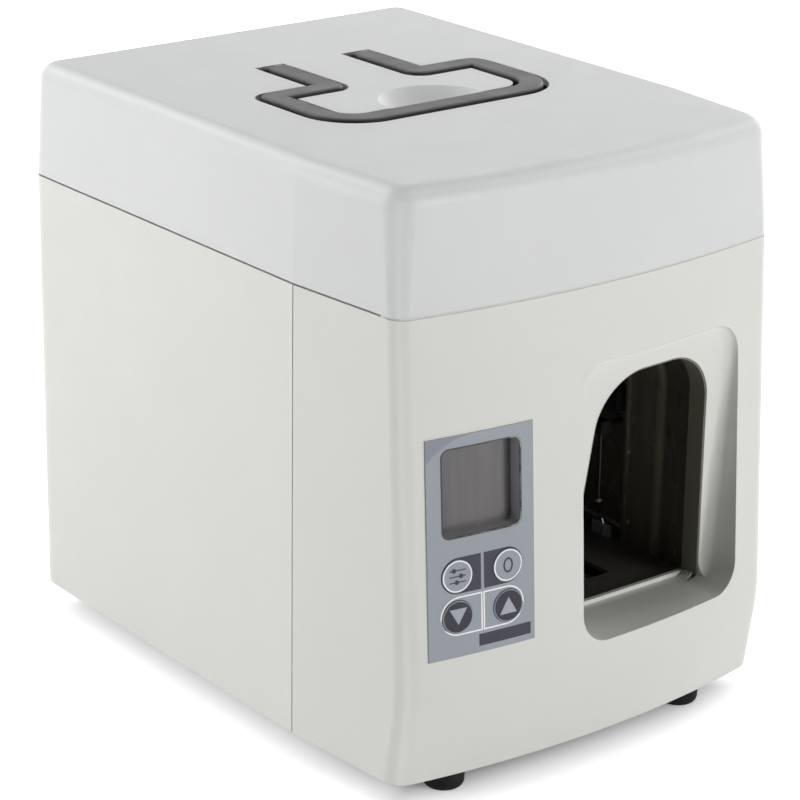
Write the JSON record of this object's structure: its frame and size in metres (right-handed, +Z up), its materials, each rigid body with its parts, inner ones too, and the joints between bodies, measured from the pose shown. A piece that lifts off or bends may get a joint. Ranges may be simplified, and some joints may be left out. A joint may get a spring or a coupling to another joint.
{
  "type": "banknote strapping machine",
  "caption": "Bench-top banknote strapping machine with arched note slot, keypad with display, hinged lid and fold-down carrying handle.",
  "frame": {"origin": "middle of the footprint on the floor, under the feet", "axes": "+X to the right seen from the front, +Y to the rear, +Z up"},
  "size_m": [0.2, 0.2734, 0.2514],
  "materials": {
    "body_plastic": "fine grain, warm ivory",
    "lid_plastic": "fine grain, light grey",
    "handle_grey": "satin grey",
    "black_plastic": "satin black",
    "rubber_black": "dull black",
    "label_sheet": "silky printed film",
    "display_face": "smooth",
    "key_light": "silky",
    "key_dark": "silky",
    "sheet_steel": "zinc plated",
    "bright_steel": "polished",
    "smoked_plastic": "smoked",
    "reel_plastic": "satin",
    "tape_paper": "wound paper band, matt",
    "motor_metal": "satin black",
    "clamp_plastic": "satin",
    "heater_metal": "milled",
    "board_green": "solder mask",
    "chip_black": "moulded"
  },
  "bodies": {
    "housing": {"front_shell": "body_plastic", "rear_cover": "body_plastic", "base_plate": "sheet_steel", "rubber_feet": "rubber_black", "foot_screws": "bright_steel", "base_screws": "bright_steel", "hinge_body_leaves": "sheet_steel", "hinge_pins": "bright_steel", "hinge_body_screws": "bright_steel", "catch_magnets": "black_plastic", "keypad_overlay": "label_sheet", "key_switches": "chip_black", "keypad_board": "board_green", "display_bezel": "black_plastic", "display_module": "display_face", "arch_liner": "black_plastic", "mech_plate": "sheet_steel", "bay_floor": "sheet_steel", "bay_wall_left": "smoked_plastic", "bay_wall_right": "smoked_plastic", "back_stop": "sheet_steel", "tape_track": "smoked_plastic", "reel_shaft": "bright_steel", "reel_cap": "black_plastic", "feed_motor": "motor_metal", "roller_shafts": "bright_steel", "clamp_bracket": "sheet_steel", "clamp_actuator": "motor_metal", "solenoid": "motor_metal", "sensor_switch": "black_plastic", "transformer": "motor_metal", "main_board": "board_green", "board_parts": "chip_black", "standoffs": "bright_steel", "power_inlet": "black_plastic", "rocker_frame": "black_plastic"},
    "lid": {"top_lid": "lid_plastic", "hinge_lid_leaves": "sheet_steel", "hinge_lid_screws": "bright_steel", "catch_plates": "sheet_steel", "handle_tray": "black_plastic", "handle_pins": "bright_steel"},
    "handle": {"carry_handle": "handle_grey"},
    "reel": {"reel_hub": "reel_plastic", "tape_roll": "tape_paper"},
    "feed": {"feed_roller": "rubber_black"},
    "pinch": {"pinch_roller": "rubber_black"},
    "idler": {"idler_roller": "reel_plastic"},
    "clamp": {"clamp_pad": "clamp_plastic", "clamp_rods": "bright_steel", "clamp_screw": "bright_steel"},
    "seal": {"seal_holder": "clamp_plastic", "heater": "heater_metal", "cutter_blade": "bright_steel"},
    "sensor": {"sense_lever": "bright_steel"},
    "rocker": {"rocker": "black_plastic"},
    "key_settings": {"key_settings": "key_light"},
    "key_zero": {"key_zero": "key_light"},
    "key_down": {"key_down": "key_dark"},
    "key_up": {"key_up": "key_dark"}
  },
  "joints": [
    {"name": "lid_hinge", "type": "hinge", "parent": "housing", "child": "lid", "pos_m": [0, 0.1341, 0.2016], "axis": [-1, 0, 0], "range_deg": [0, 100]},
    {"name": "handle_hinge", "type": "hinge", "parent": "lid", "child": "handle", "pos_m": [0, 0.0569, 0.2474], "axis": [-1, 0, 0], "range_deg": [0, 90]},
    {"name": "reel_spin", "type": "hinge", "parent": "housing", "child": "reel", "pos_m": [-0.05415, -0.08798, 0.14], "axis": [0, 1, 0], "continuous": true},
    {"name": "feed_spin", "type": "hinge", "parent": "housing", "child": "feed", "pos_m": [-0.0323, -0.0883, 0.048], "axis": [0, 1, 0], "continuous": true},
    {"name": "pinch_spin", "type": "hinge", "parent": "housing", "child": "pinch", "pos_m": [-0.0323, -0.0883, 0.0643], "axis": [0, 1, 0], "continuous": true},
    {"name": "idler_spin", "type": "hinge", "parent": "housing", "child": "idler", "pos_m": [-0.0283, -0.0883, 0.09], "axis": [0, 1, 0], "continuous": true},
    {"name": "clamp_slide", "type": "slide", "parent": "housing", "child": "clamp", "axis": [1, 0, 0], "range_m": [0, 0.058]},
    {"name": "seal_slide", "type": "slide", "parent": "housing", "child": "seal", "axis": [0, 0, 1], "range_m": [0, 0.006], "stiffness_N_per_m": 150, "springref_m": -0.006},
    {"name": "sensor_swing", "type": "hinge", "parent": "housing", "child": "sensor", "pos_m": [0.063, -0.0588, 0.107], "axis": [1, 0, 0], "range_deg": [-5, 40]},
    {"name": "rocker_tilt", "type": "hinge", "parent": "housing", "child": "rocker", "pos_m": [0.024, 0.1281, 0.036], "axis": [1, 0, 0], "range_deg": [0, 18]},
    {"name": "key_settings_press", "type": "slide", "parent": "housing", "child": "key_settings", "axis": [0, 1, 0], "range_m": [0, 0.0008], "stiffness_N_per_m": 400, "springref_m": -0.001},
    {"name": "key_zero_press", "type": "slide", "parent": "housing", "child": "key_zero", "axis": [0, 1, 0], "range_m": [0, 0.0008], "stiffness_N_per_m": 400, "springref_m": -0.001},
    {"name": "key_down_press", "type": "slide", "parent": "housing", "child": "key_down", "axis": [0, 1, 0], "range_m": [0, 0.0008], "stiffness_N_per_m": 400, "springref_m": -0.001},
    {"name": "key_up_press", "type": "slide", "parent": "housing", "child": "key_up", "axis": [0, 1, 0], "range_m": [0, 0.0008], "stiffness_N_per_m": 400, "springref_m": -0.001}
  ],
  "couplings": [
    {"joint": "pinch_spin", "follows": "feed_spin", "ratio": -1.2857}
  ]
}
